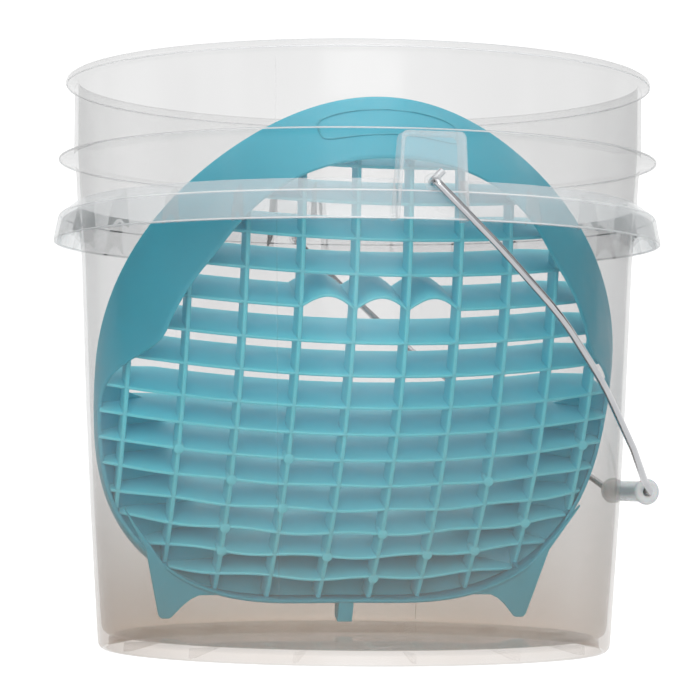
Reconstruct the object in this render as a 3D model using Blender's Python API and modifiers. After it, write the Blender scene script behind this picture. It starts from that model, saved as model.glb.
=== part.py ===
"""Translucent fermenting bucket with a wire bail, a grip spool and a slatted drain insert.

Frame: metres, +Z up, origin on the bucket's axis at the surface it stands on.
The ears lie on the Y axis, the front ear towards -Y, and the bail hangs towards +X.
"""
import math

import bmesh
import bpy
from mathutils import Matrix, Vector

MM = 0.001
MERGE = 0.00005
SHARP_ANGLE = math.radians(35.0)
GAP = 0.3

# Bucket wall, as outer radius at a height (mm)
BUCKET_HEIGHT = 292.0
FLOOR_TOP = 6.9
FLOOR_UNDER = 4.8
LIP_RADIUS = 151.0
RING_RADIUS = 154.3
RING_Z = 249.6
SKIRT_RADIUS = 156.5
SKIRT_BOTTOM = 207.3
REVOLVE_STEPS = 64

# Webs between the wall and the skirt
WEB_THICKNESS = 1.6
WEB_STEP_DEG = 14.3
WEB_FIRST_DEG = 20.8
WEBS_BESIDE_EAR = 5

# Ribs under the floor
FLOOR_RIBS = 14
FLOOR_RIB_THICKNESS = 2.0

# Ear boxes and the bail holes in their faces
EAR_FACE = 157.0
EAR_WALL = 1.8
EAR_TOP = 248.6
EAR_HALF_TOP = 15.0
EAR_HALF_BOTTOM = 17.5
EAR_ROOT = 139.0
BAIL_AXIS_Z = 225.0
BAIL_HOLE_RADIUS = 2.6

# Bail wire: u runs out along the arm, v along the ear axis
WIRE_RADIUS = 1.8
BAIL_REST_DEG = 43.9
BEND_STEP = math.radians(16.0)
HOOK_LENGTH = 8.5
HOOK_V = 150.4
ARM_V = 160.3
GRIP_U = 207.0
ARM_BENDS = (
    (42.0, 159.9, 80.0),
    (88.0, 151.5, 60.0),
    (130.0, 121.0, 150.0),
    (176.0, 71.0, 50.0),
    (199.0, 40.5, 14.0),
)

# Grip spool on the bail
GRIP_HALF = 29.0
GRIP_BORE = 2.25
GRIP_TUBE = 5.45
GRIP_FLANGE = 6.8
GRIP_FLANGE_WIDTH = 2.6
GRIP_STEPS = 32

# Drain insert: w runs towards its mouth, which faces the front ear and tips down
INSERT_TILT_DEG = 21.0
INSERT_ORIGIN = (0.0, -6.5, 141.7)
RIM_RADIUS = 136.4
RIM_TOP_FLAP = 9.0
RIM_BOTTOM_CUT = 10.0
MOUTH_RADIUS = 125.0
RIM_CORNER = 15.0
MOUTH_W = 37.6
SIDE_W = 12.0
FOOT_W = 21.0
SKIN = 2.0
OUTLINE_STEPS = 48
GRID_DEPTH = 38.0
GRID_BACK_W = -18.0
BACK_TAPER = 0.985
BAR_DEPTH = 12.0
DOME_HEIGHT = 40.0
DOME_CURVE = 0.0018
DOME_EDGE_ROUNDS = 6
DOME_RINGS = (0.25, 0.5, 0.68, 0.85, 1.0)
SLAT_THICKNESS = 2.0
MIDDLE_SLAT_Z = -5.5
UPPER_SLATS = 8
UPPER_PITCH = 17.0
LOWER_SLATS = 7
LOWER_PITCH = 14.5
WAVY_SLAT = 10
WAVE_HEIGHT = 6.5
WAVE_RISE_AT_BAR = 1.6
SLOT_OVERRUN = 4.0
WAVE_POINTS = 7
BAR_PITCH = 27.0
BAR_THICKNESS = 2.6
BARS_PER_SIDE = 5
BAR_STEPS = 14
LEG_THICKNESS = 3.0
LEG_W = 17.0
LEG_OUTLINE = (
    (-112.0, -60.0),
    (-99.0, -126.5),
    (-97.0, -129.0),
    (-92.0, -129.0),
    (-78.0, -116.5),
    (-62.0, -106.0),
    (-62.0, -66.0),
)
LEG_FIN_DEPTH = 15.0
LEG_FIN_X = BAR_PITCH * 3.5
FOOT_HALF = 4.0
CORE_OVERHANG = 30.0


def clear_scene():
    """Remove every object that the scene starts with."""
    for item in list(bpy.data.objects):
        bpy.data.objects.remove(item, do_unlink=True)


def new_collection(name):
    """A collection linked under the scene's own."""
    collection = bpy.data.collections.new(name)
    bpy.context.scene.collection.children.link(collection)
    return collection


def new_material(name, color, roughness, metallic=0.0, alpha=1.0):
    """A plain Principled material."""
    material = bpy.data.materials.new(name)
    material.use_nodes = True
    shader = material.node_tree.nodes["Principled BSDF"]
    shader.inputs["Base Color"].default_value = (*color, 1.0)
    shader.inputs["Roughness"].default_value = roughness
    shader.inputs["Metallic"].default_value = metallic
    shader.inputs["Alpha"].default_value = alpha
    return material


def object_from_bmesh(name, mesh_edit, collection):
    """Turn an edit mesh into a linked object with outward faces."""
    bmesh.ops.recalc_face_normals(mesh_edit, faces=mesh_edit.faces)
    mesh = bpy.data.meshes.new(name)
    mesh_edit.to_mesh(mesh)
    mesh_edit.free()
    item = bpy.data.objects.new(name, mesh)
    collection.objects.link(item)
    return item


def as_cutter(item):
    """Hide a tool body, which only feeds a Boolean."""
    item.hide_render = True
    item.display_type = "WIRE"
    return item


def boolean(item, tool, operation):
    """Add one exact Boolean."""
    modifier = item.modifiers.new(operation.title() + "_" + tool.name, "BOOLEAN")
    modifier.solver = "EXACT"
    modifier.operation = operation
    modifier.object = tool


def smooth_round(item):
    """Smooth shading with sharp edges kept."""
    item.data.shade_smooth()
    item.data.set_sharp_from_angle(angle=SHARP_ANGLE)


def revolve(name, profile, steps, collection, closed=False):
    """Screw a (radius, height) profile about Z. A closed profile makes a ring."""
    mesh = bpy.data.meshes.new(name)
    points = [(radius * MM, 0.0, height * MM) for radius, height in profile]
    edges = [(i, i + 1) for i in range(len(points) - 1)]
    if closed:
        edges.append((len(points) - 1, 0))
    mesh.from_pydata(points, edges, [])
    item = bpy.data.objects.new(name, mesh)
    collection.objects.link(item)
    screw = item.modifiers.new("Turn", "SCREW")
    screw.axis = "Z"
    screw.steps = steps
    screw.render_steps = steps
    screw.use_merge_vertices = True
    screw.merge_threshold = MERGE
    screw.use_smooth_shade = True
    return item


def add_prism(mesh_edit, outline, low, high, place):
    """Extrude a closed outline between two depths. place maps (a, b, depth) to a point in mm."""
    front = [mesh_edit.verts.new(place(a, b, low) * MM) for a, b in outline]
    face = mesh_edit.faces.new(front)
    grown = bmesh.ops.extrude_face_region(mesh_edit, geom=[face])
    moved = [part for part in grown["geom"] if isinstance(part, bmesh.types.BMVert)]
    shift = (place(0.0, 0.0, high) - place(0.0, 0.0, low)) * MM
    bmesh.ops.translate(mesh_edit, verts=moved, vec=shift)


def add_block(mesh_edit, low, high):
    """A box between two corners in mm."""
    size = Vector(high) - Vector(low)
    centre = (Vector(high) + Vector(low)) / 2.0
    matrix = Matrix.Translation(centre * MM) @ Matrix.Diagonal((size * MM).to_4d())
    bmesh.ops.create_cube(mesh_edit, size=1.0, matrix=matrix)


def add_loft(mesh_edit, rings, closed):
    """Join equal rings of points by quads; a closed loft returns to its first ring."""
    loops = [[mesh_edit.verts.new(point * MM) for point in ring] for ring in rings]
    pairs = list(zip(loops, loops[1:]))
    if closed:
        pairs.append((loops[-1], loops[0]))
    for lower, upper in pairs:
        for index in range(len(lower)):
            following = (index + 1) % len(lower)
            mesh_edit.faces.new((lower[index], lower[following], upper[following], upper[index]))
    if not closed:
        mesh_edit.faces.new(loops[0])
        mesh_edit.faces.new(loops[-1])


# ---------------------------------------------------------------- bucket

def bucket_profile():
    """Half section: floor centre, up the inside, over the lip, down the outside, back to the axis."""
    inside = [
        (0.0, FLOOR_TOP),
        (124.5, FLOOR_TOP),
        (128.0, 8.3),
        (129.6, 11.5),
        (134.0, 72.0),
        (136.8, 124.0),
        (140.0, 199.0),
        (142.5, 227.0),
        (144.3, 252.0),
        (144.6, BUCKET_HEIGHT - 2.0),
    ]
    lip = [
        (145.4, BUCKET_HEIGHT - 0.6),
        (147.6, BUCKET_HEIGHT),
        (149.9, BUCKET_HEIGHT - 0.5),
        (LIP_RADIUS, BUCKET_HEIGHT - 2.2),
        (150.6, BUCKET_HEIGHT - 4.2),
        (146.6, BUCKET_HEIGHT - 5.2),
    ]
    ring = [
        (146.4, RING_Z + 1.6),
        (RING_RADIUS - 0.3, RING_Z + 0.7),
        (RING_RADIUS, RING_Z),
        (RING_RADIUS - 0.3, RING_Z - 0.6),
        (146.2, RING_Z - 1.6),
        (145.4, 245.0),
    ]
    lower = [
        (144.4, 227.4),
        (141.9, 199.0),
        (138.7, 124.0),
        (135.9, 72.0),
        (132.3, 12.0),
        (131.3, 3.2),
        (130.2, 0.8),
        (129.0, 0.0),
        (127.2, 0.0),
        (126.2, 0.6),
        (125.2, FLOOR_UNDER),
        (0.0, FLOOR_UNDER),
    ]
    return inside + lip + ring + lower


def collar_profile():
    """Section of the sloped collar and its skirt, drawn through the wall and trimmed later."""
    return [
        (143.0, 228.6),
        (153.2, 221.2),
        (154.3, 219.6),
        (SKIRT_RADIUS, SKIRT_BOTTOM + 0.4),
        (SKIRT_RADIUS - 0.4, SKIRT_BOTTOM),
        (SKIRT_RADIUS - 1.8, SKIRT_BOTTOM + 0.2),
        (152.4, 218.8),
        (143.0, 224.1),
    ]


def wall_clearance_profile():
    """Space that the collar's node stays out of: the wall and the ring, grown by the gap."""
    return [
        (0.0, 254.0),
        (EAR_FACE + 2.0, 254.0),
        (EAR_FACE + 2.0, 248.9 - GAP),
        (146.2 + GAP, 248.0 - GAP),
        (145.4 + GAP, 245.0),
        (144.4 + GAP, 227.4),
        (141.9 + GAP, 199.0),
        (141.5 + GAP, 190.0),
        (0.0, 190.0),
    ]


def web_angles():
    """Azimuths of the webs: even steps to both sides of each ear, and one midway between the ears."""
    angles = [0.0, 180.0]
    for ear in (-90.0, 90.0):
        for index in range(WEBS_BESIDE_EAR):
            offset = WEB_FIRST_DEG + index * WEB_STEP_DEG
            angles.extend((ear - offset, ear + offset))
    return angles


def make_webs(collection):
    """Thin plates that stiffen the collar from below."""
    outline = (
        (141.2, 205.0),
        (142.6, 223.0),
        (144.6, 225.4),
        (153.0, 220.2),
        (155.6, 208.4),
        (155.0, 206.2),
        (152.6, 206.0),
        (148.0, 210.0),
        (144.5, 208.5),
    )
    mesh_edit = bmesh.new()
    for angle in web_angles():
        turn = Matrix.Rotation(math.radians(angle), 4, "Z")

        def place(radius, height, side, turn=turn):
            return turn @ Vector((radius, side, height))

        add_prism(mesh_edit, outline, -WEB_THICKNESS / 2.0, WEB_THICKNESS / 2.0, place)
    return as_cutter(object_from_bmesh("web_set", mesh_edit, collection))


def make_floor_ribs(collection):
    """Radial ribs under the floor, just inside the foot ring."""
    outline = ((104.0, 5.6), (126.4, 5.6), (126.4, 0.8), (122.0, 1.2))
    mesh_edit = bmesh.new()
    for index in range(FLOOR_RIBS):
        turn = Matrix.Rotation(2.0 * math.pi * (index + 0.5) / FLOOR_RIBS, 4, "Z")

        def place(radius, height, side, turn=turn):
            return turn @ Vector((radius, side, height))

        half = FLOOR_RIB_THICKNESS / 2.0
        add_prism(mesh_edit, outline, -half, half, place)
    return as_cutter(object_from_bmesh("floor_rib_set", mesh_edit, collection))


def ear_outline(inset):
    """Front outline of an ear box as (x, z), shrunk by an inset, with cut top corners."""
    corner = 2.0
    top = EAR_TOP - inset
    bottom = SKIRT_BOTTOM - (inset * 2.0)
    half_top = EAR_HALF_TOP - inset
    half_bottom = EAR_HALF_BOTTOM - inset
    return (
        (-half_bottom, bottom),
        (half_bottom, bottom),
        (half_top, top - corner),
        (half_top - corner, top),
        (-half_top + corner, top),
        (-half_top, top - corner),
    )


def make_ear_bodies(name, inset, face, collection):
    """The same box on both ears: ear_outline from a face back through the wall."""
    mesh_edit = bmesh.new()
    for side in (-1.0, 1.0):
        outline = ear_outline(inset)

        def place(x, z, depth, side=side):
            return Vector((x, side * depth, z))

        add_prism(mesh_edit, outline, EAR_ROOT - inset, face, place)
    return as_cutter(object_from_bmesh(name, mesh_edit, collection))


def make_bail_holes(collection):
    """Round holes through both ear faces, on the bail's axis."""
    mesh_edit = bmesh.new()
    for side in (-1.0, 1.0):
        centre = Vector((0.0, side * (EAR_FACE - EAR_WALL / 2.0), BAIL_AXIS_Z)) * MM
        matrix = Matrix.Translation(centre) @ Matrix.Rotation(math.pi / 2.0, 4, "X")
        bmesh.ops.create_cone(
            mesh_edit,
            cap_ends=True,
            segments=24,
            radius1=BAIL_HOLE_RADIUS * MM,
            radius2=BAIL_HOLE_RADIUS * MM,
            depth=EAR_WALL * 2.0 * MM,
            matrix=matrix,
        )
    return as_cutter(object_from_bmesh("bail_hole_set", mesh_edit, collection))


def make_bucket(parts, tools, material):
    """The pail's round body: wall, floor, foot, lip and stacking ring."""
    bucket = revolve("bucket_body", bucket_profile(), REVOLVE_STEPS, parts)
    boolean(bucket, make_floor_ribs(tools), "UNION")
    bucket.data.materials.append(material)
    return bucket


def make_collar(parts, tools, material):
    """The collar with its webs and both ears, a hair clear of the wall."""
    collar = revolve("bucket_collar", collar_profile(), REVOLVE_STEPS, parts, closed=True)
    clearance = revolve("wall_clearance", wall_clearance_profile(), REVOLVE_STEPS, tools)
    boolean(collar, make_webs(tools), "UNION")
    boolean(collar, make_ear_bodies("ear_set", 0.0, EAR_FACE, tools), "UNION")
    boolean(collar, make_ear_bodies("ear_cavity_set", EAR_WALL, EAR_FACE - EAR_WALL, tools), "DIFFERENCE")
    boolean(collar, as_cutter(clearance), "DIFFERENCE")
    boolean(collar, make_bail_holes(tools), "DIFFERENCE")
    collar.data.materials.append(material)
    return collar


# ---------------------------------------------------------------- bail and grip

def rounded_path(corners):
    """Replace each inner corner (point, bend radius) of a polyline by an arc."""
    path = [corners[0][0]]
    for index in range(1, len(corners) - 1):
        before = corners[index - 1][0]
        point, radius = corners[index]
        after = corners[index + 1][0]
        back = (before - point).normalized()
        ahead = (after - point).normalized()
        turn = math.pi - back.angle(ahead)
        reach = radius * math.tan(turn / 2.0)
        centre_way = (back + ahead).normalized()
        centre = point + centre_way * (radius / math.cos(turn / 2.0))
        start = point + back * reach - centre
        end = point + ahead * reach - centre
        axis = start.cross(end).normalized()
        steps = max(2, math.ceil(turn / BEND_STEP))
        for step in range(steps + 1):
            path.append(centre + Matrix.Rotation(turn * step / steps, 3, axis) @ start)
    path.append(corners[-1][0])
    return path


def bail_corners():
    """Corners of the wire from one hook, over the grip, to the other hook (u, v, up)."""
    half = [
        (Vector((0.0, HOOK_V, HOOK_LENGTH)), 0.0),
        (Vector((0.0, HOOK_V, 0.0)), 2.5),
        (Vector((0.0, ARM_V, 0.0)), 2.6),
    ]
    for u, v, radius in ARM_BENDS:
        half.append((Vector((u, v, 0.0)), radius))
    half.append((Vector((GRIP_U, GRIP_HALF + 5.0, 0.0)), 4.5))
    other = [(Vector((point.x, -point.y, point.z)), radius) for point, radius in reversed(half)]
    return half + other


def make_bail(parts, material):
    """Bent round wire, with its origin on the ear axis."""
    path = rounded_path(bail_corners())
    curve = bpy.data.curves.new("bail_wire", "CURVE")
    curve.dimensions = "3D"
    curve.bevel_depth = WIRE_RADIUS * MM
    curve.bevel_resolution = 2
    curve.use_fill_caps = True
    spline = curve.splines.new("POLY")
    spline.points.add(len(path) - 1)
    for knot, point in zip(spline.points, path):
        knot.co = (*(point * MM), 1.0)
    bail = bpy.data.objects.new("bail_wire", curve)
    parts.objects.link(bail)
    bail.location = (0.0, 0.0, BAIL_AXIS_Z * MM)
    bail.rotation_euler = (0.0, math.radians(BAIL_REST_DEG), 0.0)
    curve.materials.append(material)
    return bail


def make_grip(parts, bail, material):
    """Spool with a domed flange at each end, turning on the wire."""
    step = GRIP_FLANGE - GRIP_TUBE
    flange_in = GRIP_HALF - GRIP_FLANGE_WIDTH
    top = [
        (GRIP_BORE, GRIP_HALF - 0.8),
        (GRIP_BORE + 1.0, GRIP_HALF),
        (GRIP_TUBE - 0.6, GRIP_HALF - 0.3),
        (GRIP_FLANGE - 0.4, GRIP_HALF - 1.1),
        (GRIP_FLANGE, flange_in + 0.6),
        (GRIP_FLANGE - 0.3, flange_in),
        (GRIP_TUBE, flange_in - step * 0.4),
    ]
    bottom = [(radius, -height) for radius, height in reversed(top)]
    grip = revolve("bail_grip", top + bottom, GRIP_STEPS, parts, closed=True)
    grip.parent = bail
    grip.location = (GRIP_U * MM, 0.0, 0.0)
    grip.rotation_euler = (math.pi / 2.0, 0.0, 0.0)
    grip.data.materials.append(material)
    return grip


# ---------------------------------------------------------------- drain insert
# Local axes of the insert: x across, z up its face, and y = -w.

def ease(value, start, end):
    """Smooth step from 0 to 1 as a value goes from start to end."""
    share = max(0.0, min(1.0, (value - start) / (end - start)))
    return share * share * (3.0 - 2.0 * share)


def skin_depth(angle):
    """Depth of the skin round the insert: a deep hood above, shallow sides, deeper again at the legs."""
    rise = math.sin(angle)
    hood = (MOUTH_W - SIDE_W) * ease(rise, -0.15, 0.3)
    foot = (FOOT_W - SIDE_W) * ease(-rise, 0.45, 0.75)
    return SIDE_W + hood + foot


def outline_point(angle, w, inset):
    """Point of the insert's skin at an angle from +x and a depth, pulled in by an inset."""
    part = max(0.0, min(1.0, w / MOUTH_W))
    rise = math.sin(angle)
    radius = RIM_RADIUS + (MOUTH_RADIUS - RIM_RADIUS) * part
    radius += RIM_TOP_FLAP * (1.0 - part) * max(0.0, rise) ** 8
    if rise < 0.0:
        radius += RIM_CORNER * math.sin(2.0 * angle) ** 2 - RIM_BOTTOM_CUT * rise * rise
    radius -= inset
    return Vector((radius * math.cos(angle), -w, radius * math.sin(angle)))


def outline_angles():
    """Angles of the steps round the insert."""
    return [2.0 * math.pi * index / OUTLINE_STEPS for index in range(OUTLINE_STEPS)]


def outline_ring(w, inset):
    """Closed ring of skin points at one depth."""
    return [outline_point(angle, w, inset) for angle in outline_angles()]


def dome_w(x, z):
    """Depth of the grid's bulged front at a place on its face."""
    return DOME_HEIGHT - DOME_CURVE * (x * x + z * z)


def dome_edge(inset):
    """Ring along which the bulged front meets the skin."""
    ring = []
    for angle in outline_angles():
        w = MOUTH_W / 2.0
        for _ in range(DOME_EDGE_ROUNDS):
            point = outline_point(angle, w, inset)
            w = dome_w(point.x, point.z)
        ring.append(Vector((point.x, -w, point.z)))
    return ring


def make_skin(name, collection):
    """The insert's conical skin, open at both ends."""
    angles = outline_angles()
    rings = [
        outline_ring(0.0, SKIN),
        outline_ring(0.0, 0.0),
        [outline_point(angle, skin_depth(angle), 0.0) for angle in angles],
        [outline_point(angle, skin_depth(angle), SKIN) for angle in angles],
    ]
    mesh_edit = bmesh.new()
    add_loft(mesh_edit, rings, closed=True)
    return object_from_bmesh(name, mesh_edit, collection)


def make_skin_core(collection):
    """Solid inside the middle of the skin's thickness, long enough to pass out of both its ends."""
    depths = (-CORE_OVERHANG, 0.0, MOUTH_W, MOUTH_W + CORE_OVERHANG)
    mesh_edit = bmesh.new()
    add_loft(mesh_edit, [outline_ring(w, SKIN / 2.0) for w in depths], closed=False)
    return as_cutter(object_from_bmesh("skin_core", mesh_edit, collection))


def make_grid_envelope(collection):
    """Solid that trims the grid: sides a hair inside the skin, front and back bulged alike."""
    inset = SKIN + GAP
    front = []
    back = []
    for share in DOME_RINGS:
        front_ring = []
        back_ring = []
        for edge in dome_edge(inset):
            x = edge.x * share
            z = edge.z * share
            w = dome_w(x, z)
            front_ring.append(Vector((x, -w, z)))
            back_ring.append(Vector((x * BACK_TAPER, -max(w - GRID_DEPTH, GRID_BACK_W), z * BACK_TAPER)))
        front.append(front_ring)
        back.append(back_ring)
    mesh_edit = bmesh.new()
    add_loft(mesh_edit, front + back[::-1], closed=False)
    return as_cutter(object_from_bmesh("grid_envelope", mesh_edit, collection))


def slat_heights():
    """Heights of the slats on the insert's face, from the lowest up."""
    lower = [MIDDLE_SLAT_Z - LOWER_PITCH * (LOWER_SLATS - index) for index in range(LOWER_SLATS)]
    upper = [MIDDLE_SLAT_Z + UPPER_PITCH * index for index in range(UPPER_SLATS)]
    return lower + upper


def wave_outline(height, reach):
    """Section of the wavy slat: straight ends, and three arches in the middle, one grid cell wide each."""
    half = BAR_PITCH * 1.5
    line = [(-reach, height)]
    for cell in range(3):
        for step in range(WAVE_POINTS):
            share = step / WAVE_POINTS
            x = -half + BAR_PITCH * (cell + share)
            line.append((x, height + WAVE_HEIGHT * math.sin(math.pi * share)))
    line.append((half, height))
    line.append((reach, height))
    top = [(x, z + SLAT_THICKNESS / 2.0) for x, z in line]
    bottom = [(x, z - SLAT_THICKNESS / 2.0) for x, z in reversed(line)]
    return top + bottom


def face_place(x, z, w):
    """Point of the insert at a place on its face and a depth."""
    return Vector((x, -w, z))


def bar_places():
    """Places of the bars across the insert's face, from -x to +x."""
    return [BAR_PITCH * (index + 0.5) for index in range(-BARS_PER_SIDE, BARS_PER_SIDE)]


def lap_w(x, z):
    """Depth at which a slat and a bar meet: halfway through the bar."""
    return dome_w(x, z) - BAR_DEPTH / 2.0


def make_slat(index, height, envelope, tools, parts):
    """One deep slat across the insert, slotted from the front for the bars.

    A slot that would leave only a sliver between the bar and the slat's end runs out past the end.
    """
    reach = RIM_RADIUS + 12.0
    low_w = GRID_BACK_W - 2.0
    high_w = DOME_HEIGHT + 2.0
    half = SLAT_THICKNESS / 2.0
    mesh_edit = bmesh.new()
    if index == WAVY_SLAT:
        add_prism(mesh_edit, wave_outline(height, reach), low_w, high_w, face_place)
    else:
        add_block(mesh_edit, (-reach, -high_w, height - half), (reach, -low_w, height + half))
    slat = object_from_bmesh(f"insert_slat_{index + 1:02d}", mesh_edit, parts)
    half_slot = BAR_THICKNESS / 2.0 + GAP
    slots = bmesh.new()
    for x in bar_places():
        edge = outline_point(math.atan2(height, x), dome_w(x, height), SKIN + GAP)
        beyond = math.hypot(edge.x, edge.z) - math.hypot(x, height) - half_slot
        if beyond < -2.0 * half_slot:
            continue
        runs_out = beyond < SLOT_OVERRUN
        left = -reach if runs_out and x < 0.0 else x - half_slot
        right = reach if runs_out and x > 0.0 else x + half_slot
        low = (left, -(DOME_HEIGHT + SLOT_OVERRUN), height - SLAT_THICKNESS * 2.0)
        high = (right, -(lap_w(x, height) - GAP / 2.0), height + SLAT_THICKNESS * 2.0)
        add_block(slots, low, high)
    boolean(slat, as_cutter(object_from_bmesh(f"slat_slots_{index + 1:02d}", slots, tools)), "DIFFERENCE")
    boolean(slat, envelope, "INTERSECT")
    return slat


def make_bar(index, x, envelope, tools, parts):
    """One shallow upright bar, bulged like the grid's front and slotted from behind for the slats."""
    reach = RIM_RADIUS + 12.0
    half = BAR_THICKNESS / 2.0
    heights = [reach * (2.0 * step / BAR_STEPS - 1.0) for step in range(BAR_STEPS + 1)]
    outline = [(dome_w(x, z) - BAR_DEPTH, z) for z in heights]
    outline += [(DOME_HEIGHT + 1.0, reach), (DOME_HEIGHT + 1.0, -reach)]

    def place(w, z, side):
        return Vector((x + side, -w, z))

    mesh_edit = bmesh.new()
    add_prism(mesh_edit, outline, -half, half, place)
    bar = object_from_bmesh(f"insert_bar_{index + 1:02d}", mesh_edit, parts)
    half_slot = SLAT_THICKNESS / 2.0 + GAP
    slots = bmesh.new()
    for row, z in enumerate(slat_heights()):
        rise = WAVE_RISE_AT_BAR if row == WAVY_SLAT else 0.0
        low = (x - BAR_THICKNESS, -(lap_w(x, z) + GAP / 2.0), z - half_slot)
        high = (x + BAR_THICKNESS, SLOT_OVERRUN - GRID_BACK_W, z + half_slot + rise)
        add_block(slots, low, high)
    boolean(bar, as_cutter(object_from_bmesh(f"bar_slots_{index + 1:02d}", slots, tools)), "DIFFERENCE")
    boolean(bar, envelope, "INTERSECT")
    return bar


def make_legs(name, collection):
    """Two tapered legs in one plane."""
    mesh_edit = bmesh.new()
    for side in (-1.0, 1.0):
        outline = [(-x * side, z) for x, z in LEG_OUTLINE]
        add_prism(mesh_edit, outline, LEG_W, LEG_W + LEG_THICKNESS, face_place)
    return as_cutter(object_from_bmesh(name, mesh_edit, collection))


def make_leg_fins(collection):
    """Fins behind the legs, and the middle foot, as upright plates."""
    fin = (
        (LEG_W + 1.0, -128.5),
        (LEG_W + 1.0, -70.0),
        (LEG_W - LEG_FIN_DEPTH, -70.0),
        (LEG_W - 3.0, -128.5),
    )
    foot = (
        (FOOT_W - 0.5, -131.0),
        (FOOT_W - 0.5, -112.0),
        (FOOT_W - 11.0, -112.0),
        (FOOT_W - 8.0, -131.0),
    )
    half_fin = BAR_THICKNESS / 2.0
    mesh_edit = bmesh.new()
    plates = ((-LEG_FIN_X, half_fin, fin), (LEG_FIN_X, half_fin, fin), (0.0, FOOT_HALF, foot))
    for x, half, outline in plates:

        def place(w, z, side, x=x):
            return Vector((x + side, -w, z))

        add_prism(mesh_edit, outline, -half, half, place)
    return as_cutter(object_from_bmesh("leg_fin_set", mesh_edit, collection))


def make_insert(parts, tools, material):
    """The drain insert: its skin with legs and feet, and the slats and bars that fill the skin."""
    legs = make_legs("leg_set", tools)
    boolean(legs, make_leg_fins(tools), "UNION")
    boolean(legs, make_skin_core(tools), "DIFFERENCE")
    shell = make_skin("insert_shell", parts)
    boolean(shell, legs, "UNION")
    envelope = make_grid_envelope(tools)
    pieces = [shell]
    for index, height in enumerate(slat_heights()):
        pieces.append(make_slat(index, height, envelope, tools, parts))
    for index, x in enumerate(bar_places()):
        pieces.append(make_bar(index, x, envelope, tools, parts))
    tilt = Matrix.Rotation(math.radians(INSERT_TILT_DEG), 4, "X")
    place = Matrix.Translation(Vector(INSERT_ORIGIN) * MM) @ tilt
    for item in pieces:
        item.data.materials.append(material)
    for item in (*pieces, *tools.objects):
        item.matrix_world = place


def main():
    clear_scene()
    parts = new_collection("fermenting_bucket")
    bucket_tools = new_collection("bucket_cutters")
    insert_tools = new_collection("insert_cutters")
    clear_plastic = new_material("natural_plastic", (0.86, 0.89, 0.90), 0.28, alpha=0.35)
    teal_plastic = new_material("teal_plastic", (0.07, 0.42, 0.50), 0.40)
    steel = new_material("bright_wire", (0.72, 0.73, 0.75), 0.22, metallic=1.0)
    white_plastic = new_material("white_plastic", (0.88, 0.88, 0.86), 0.35)
    bucket = make_bucket(parts, bucket_tools, clear_plastic)
    collar = make_collar(parts, bucket_tools, clear_plastic)
    bail = make_bail(parts, steel)
    grip = make_grip(parts, bail, white_plastic)
    make_insert(parts, insert_tools, teal_plastic)
    for item in (bucket, collar, grip):
        smooth_round(item)
    bpy.context.view_layer.update()


main()
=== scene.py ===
import math

import bmesh
import bpy
from mathutils import Matrix, Vector


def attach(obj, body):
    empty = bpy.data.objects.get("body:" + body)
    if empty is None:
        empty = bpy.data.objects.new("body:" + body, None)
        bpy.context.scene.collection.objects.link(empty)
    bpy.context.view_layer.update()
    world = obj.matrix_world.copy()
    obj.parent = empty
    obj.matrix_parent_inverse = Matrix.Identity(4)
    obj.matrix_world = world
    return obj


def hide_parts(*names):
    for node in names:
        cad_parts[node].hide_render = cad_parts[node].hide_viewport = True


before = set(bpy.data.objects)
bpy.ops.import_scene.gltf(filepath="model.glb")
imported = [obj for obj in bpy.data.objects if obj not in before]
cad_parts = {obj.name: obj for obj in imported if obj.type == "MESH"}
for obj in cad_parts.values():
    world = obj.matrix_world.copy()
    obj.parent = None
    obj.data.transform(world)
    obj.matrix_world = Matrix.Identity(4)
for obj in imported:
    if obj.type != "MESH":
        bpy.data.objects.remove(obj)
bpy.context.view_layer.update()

MM = 0.001
TAU = 2.0 * math.pi


# ------------------------------------------------------------------ mesh helpers

def mesh_object(name, points, faces, smooth_deg):
    """A linked mesh from points in mm, with outward faces and sharp edges kept."""
    mesh = bpy.data.meshes.new(name)
    mesh.from_pydata([Vector(point) * MM for point in points], [], faces)
    mesh.validate()
    item = bpy.data.objects.new(name, mesh)
    bpy.context.scene.collection.objects.link(item)
    edit = bmesh.new()
    edit.from_mesh(mesh)
    bmesh.ops.recalc_face_normals(edit, faces=edit.faces)
    edit.to_mesh(mesh)
    edit.free()
    mesh.shade_smooth()
    mesh.set_sharp_from_angle(angle=math.radians(smooth_deg))
    return item


class Shape:
    """Collects points and faces of several closed solids for one object."""

    def __init__(self):
        self.points = []
        self.faces = []

    def loft(self, rings, closed=False):
        """Join rings of points, with a cap at each end unless the last ring meets the first."""
        base = len(self.points)
        size = len(rings[0])
        for ring in rings:
            self.points.extend(ring)
        pairs = [(i, i + 1) for i in range(len(rings) - 1)]
        if closed:
            pairs.append((len(rings) - 1, 0))
        for low, high in pairs:
            for i in range(size):
                j = (i + 1) % size
                near = base + low * size
                far = base + high * size
                self.faces.append((near + i, near + j, far + j, far + i))
        if not closed:
            self.faces.append([base + i for i in range(size)])
            self.faces.append([base + (len(rings) - 1) * size + i for i in range(size)])

    def lathe(self, profile, steps, start=0.0, end=TAU, place=None):
        """Turn a (radius, height) profile about Z, all the way round or over an arc."""
        full = abs(end - start - TAU) < 1e-6
        count = steps if full else steps + 1
        rings = []
        for i in range(count):
            angle = start + (end - start) * i / steps
            x, y = math.cos(angle), math.sin(angle)
            ring = [(radius * x, radius * y, height) for radius, height in profile]
            if place:
                ring = [place(point) for point in ring]
            rings.append(ring)
        self.loft(rings, closed=full)

    def build(self, name, smooth_deg):
        """The object made of everything that was added."""
        return mesh_object(name, self.points, self.faces, smooth_deg)


def bevel(item, width, segments):
    """Round the sharp edges of a piece, with the width in mm."""
    modifier = item.modifiers.new("Edge", "BEVEL")
    modifier.width = width * MM
    modifier.segments = segments
    modifier.limit_method = "ANGLE"
    modifier.angle_limit = math.radians(40.0)


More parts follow.
